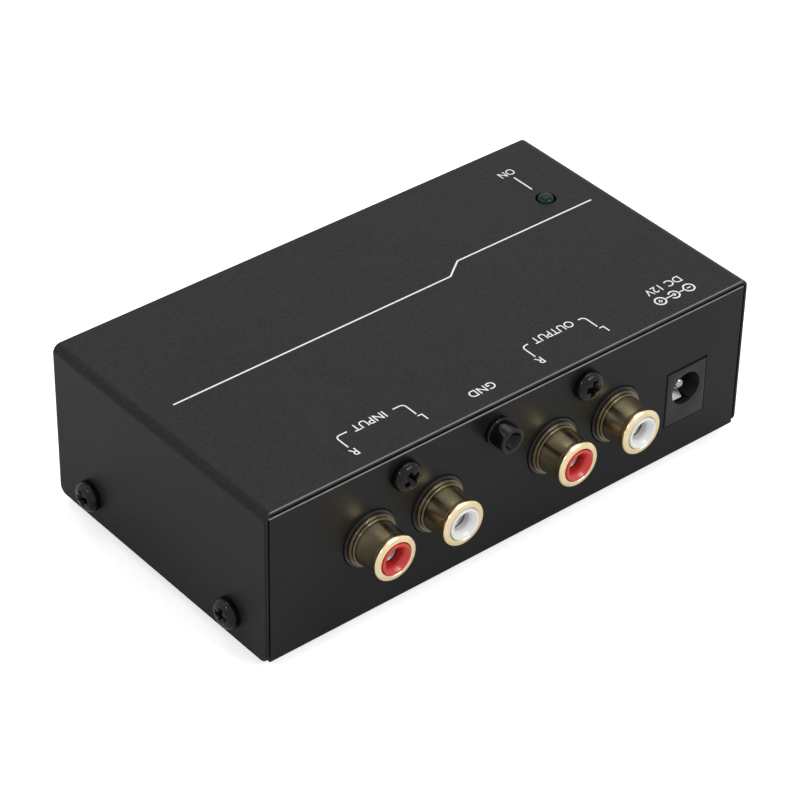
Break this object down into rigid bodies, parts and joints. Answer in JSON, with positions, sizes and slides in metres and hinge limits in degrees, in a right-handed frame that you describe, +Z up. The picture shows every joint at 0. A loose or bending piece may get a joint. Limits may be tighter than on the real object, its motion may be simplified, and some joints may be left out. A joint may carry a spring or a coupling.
{
  "type": "phono preamp",
  "caption": "Small folded steel phono preamplifier with gold phono sockets, a threaded ground post, a power socket and a lamp.",
  "frame": {"origin": "on the table, under the middle of the outline that the case and its sockets make together", "axes": "+X to the right seen from the bare front, +Y towards the rear panel with the sockets, +Z up"},
  "size_m": [0.1084, 0.0644, 0.0333],
  "materials": {
    "case_paint": "fine-grained charcoal powder coat, satin",
    "foot_rubber": "matte black rubber",
    "screw_black": "black oxide, semi-gloss",
    "plated_steel": "zinc plated",
    "board_green": "solder mask",
    "socket_plastic": "moulded black",
    "post_paint": "charcoal coat over steel",
    "wire_green": "insulated stranded wire",
    "jack_plastic": "moulded black, satin",
    "bright_contact": "tin plated",
    "capacitor_sleeve": "dark shrink sleeve",
    "film_case": "dipped epoxy",
    "resistor_body": "lacquered",
    "diode_body": "moulded black",
    "chip_plastic": "moulded black epoxy",
    "lamp_green": "clear dark green epoxy, unlit",
    "spacer_nylon": "natural nylon",
    "socket_gold": "bright gold plate",
    "contact_brass": "plated brass",
    "insert_white": "moulded white",
    "insert_red": "moulded red"
  },
  "bodies": {
    "root": {"top_cover": "case_paint", "chassis_tray": "case_paint", "rubber_feet": "foot_rubber", "cover_screws": "screw_black", "socket_screws": "screw_black", "board_standoffs": "plated_steel", "board_screws": "plated_steel", "main_board": "board_green", "input_socket_block": "socket_plastic", "output_socket_block": "socket_plastic", "ground_post": "post_paint", "ground_lug": "plated_steel", "ground_lug_screw": "plated_steel", "ground_wire": "wire_green", "dc_jack_body": "jack_plastic", "dc_centre_pin": "bright_contact", "dc_leaf_terminal": "bright_contact", "electrolytic_capacitors": "capacitor_sleeve", "film_capacitors": "film_case", "resistors": "resistor_body", "power_diode": "diode_body", "op_amps": "chip_plastic", "op_amp_legs": "bright_contact", "regulator_body": "chip_plastic", "regulator_tab": "plated_steel", "power_lamp": "lamp_green", "lamp_spacer": "spacer_nylon", "lamp_leads": "bright_contact", "input_left_shell": "socket_gold", "input_left_insert": "insert_white", "input_left_contact": "contact_brass", "input_right_shell": "socket_gold", "input_right_insert": "insert_red", "input_right_contact": "contact_brass", "output_left_shell": "socket_gold", "output_left_insert": "insert_white", "output_left_contact": "contact_brass", "output_right_shell": "socket_gold", "output_right_insert": "insert_red", "output_right_contact": "contact_brass"},
    "plug_contact": {"dc_spring_contact": "bright_contact"}
  },
  "joints": [
    {"name": "plug_contact_flex", "type": "hinge", "parent": "root", "child": "plug_contact", "pos_m": [-0.03885, 0.01245, 0.0106], "axis": [-1, 0, 0], "range_deg": [0, 4], "stiffness_Nm_per_rad": 0.1}
  ]
}
